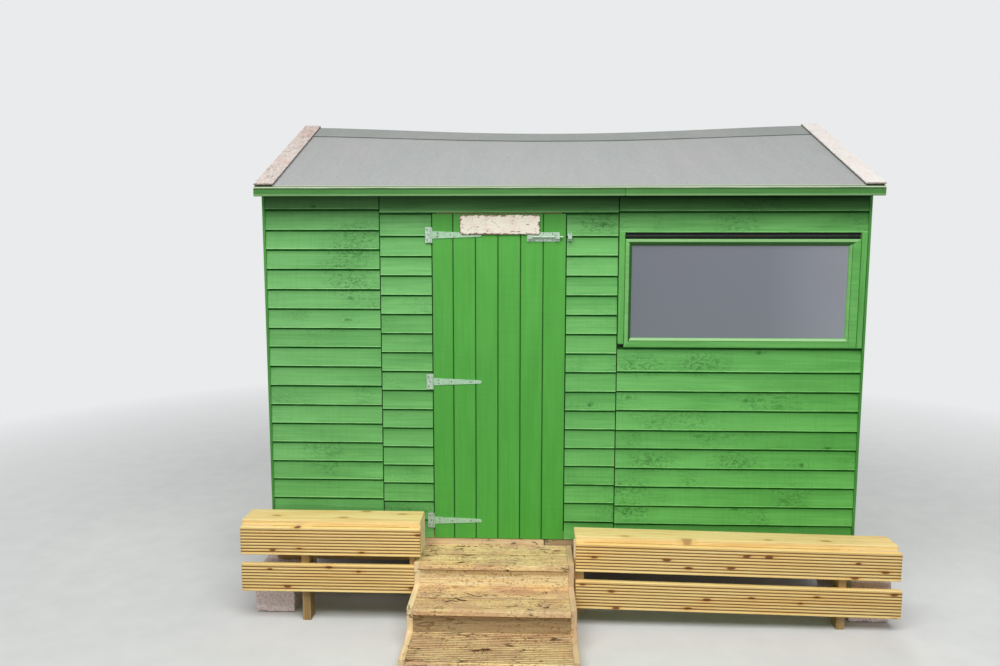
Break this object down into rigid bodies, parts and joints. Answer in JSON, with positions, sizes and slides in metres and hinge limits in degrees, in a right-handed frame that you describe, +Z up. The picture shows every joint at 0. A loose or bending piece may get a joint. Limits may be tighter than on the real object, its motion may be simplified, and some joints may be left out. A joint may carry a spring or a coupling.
{
  "type": "timber garden shed",
  "caption": "Green overlap-clad timber shed with a felted apex roof, a hinged boarded door, a frosted window, deck-board steps and low benches, on block piers.",
  "frame": {"origin": "on the ground under the middle of the floor plan, on the underside of the middle block pier", "axes": "+X along the front wall to the right, +Y from the door through the back wall, +Z up"},
  "size_m": [3.304, 2.625, 2.6495],
  "materials": {
    "cladding": "rough sawn, green shed paint",
    "door_paint": "planed, green shed paint",
    "trim_paint": "green shed paint",
    "frame_timber": "bare sawn softwood",
    "floor_timber": "bare planed softwood",
    "edge_timber": "weathered softwood",
    "concrete": "pebbly concrete",
    "roof_felt": "mineral roofing felt",
    "verge_timber": "weathered grey softwood",
    "decking": "new treated softwood",
    "step_decking": "worn treated softwood",
    "galvanised": "galvanised",
    "frosted_pane": "frosted",
    "rubber_seal": "matte black",
    "sign_board": "chipped cream paint"
  },
  "bodies": {
    "shed": {"block_piers": "concrete", "floor_bearers": "frame_timber", "floor_joists": "frame_timber", "floor_boards": "floor_timber", "floor_edge_boards": "edge_timber", "left_panel_cladding": "cladding", "door_left_cladding": "cladding", "door_right_cladding": "cladding", "door_header": "cladding", "window_lower_cladding": "cladding", "window_upper_cladding": "cladding", "back_cladding": "cladding", "left_gable_cladding": "cladding", "right_gable_cladding": "cladding", "corner_trims": "trim_paint", "front_studs": "frame_timber", "front_rails": "frame_timber", "rear_studs": "frame_timber", "rear_rails": "frame_timber", "gable_studs": "frame_timber", "gable_rails": "frame_timber", "roof_deck_front": "frame_timber", "roof_deck_back": "frame_timber", "ridge_beam": "frame_timber", "eaves_rails": "frame_timber", "felt_front": "roof_felt", "felt_back": "roof_felt", "felt_ridge": "roof_felt", "fascia_front": "trim_paint", "fascia_back": "trim_paint", "verge_boards_front": "verge_timber", "verge_boards_back": "verge_timber", "window_sash": "trim_paint", "window_casing": "trim_paint", "window_pane": "frosted_pane", "window_seal": "rubber_seal", "hinge_plates": "galvanised", "padbolt_keeper": "galvanised", "step_stringers": "step_decking", "step_treads": "step_decking", "step_risers": "step_decking", "bench_seats": "decking", "bench_left_fascias": "decking", "bench_right_fascias": "decking", "bench_posts": "decking"},
    "door": {"door_boards": "door_paint", "door_ledges": "frame_timber", "hinge_straps": "galvanised", "padbolt_plate": "galvanised", "sign_plate": "sign_board"},
    "bolt": {"padbolt_bolt": "galvanised"}
  },
  "joints": [
    {"name": "door_hinge", "type": "hinge", "parent": "shed", "child": "door", "pos_m": [-0.6675, -0.862, 0.36], "axis": [0, 0, -1], "range_deg": [0, 90]},
    {"name": "bolt_slide", "type": "slide", "parent": "door", "child": "bolt", "axis": [1, 0, 0], "range_m": [0, 0.043]}
  ]
}
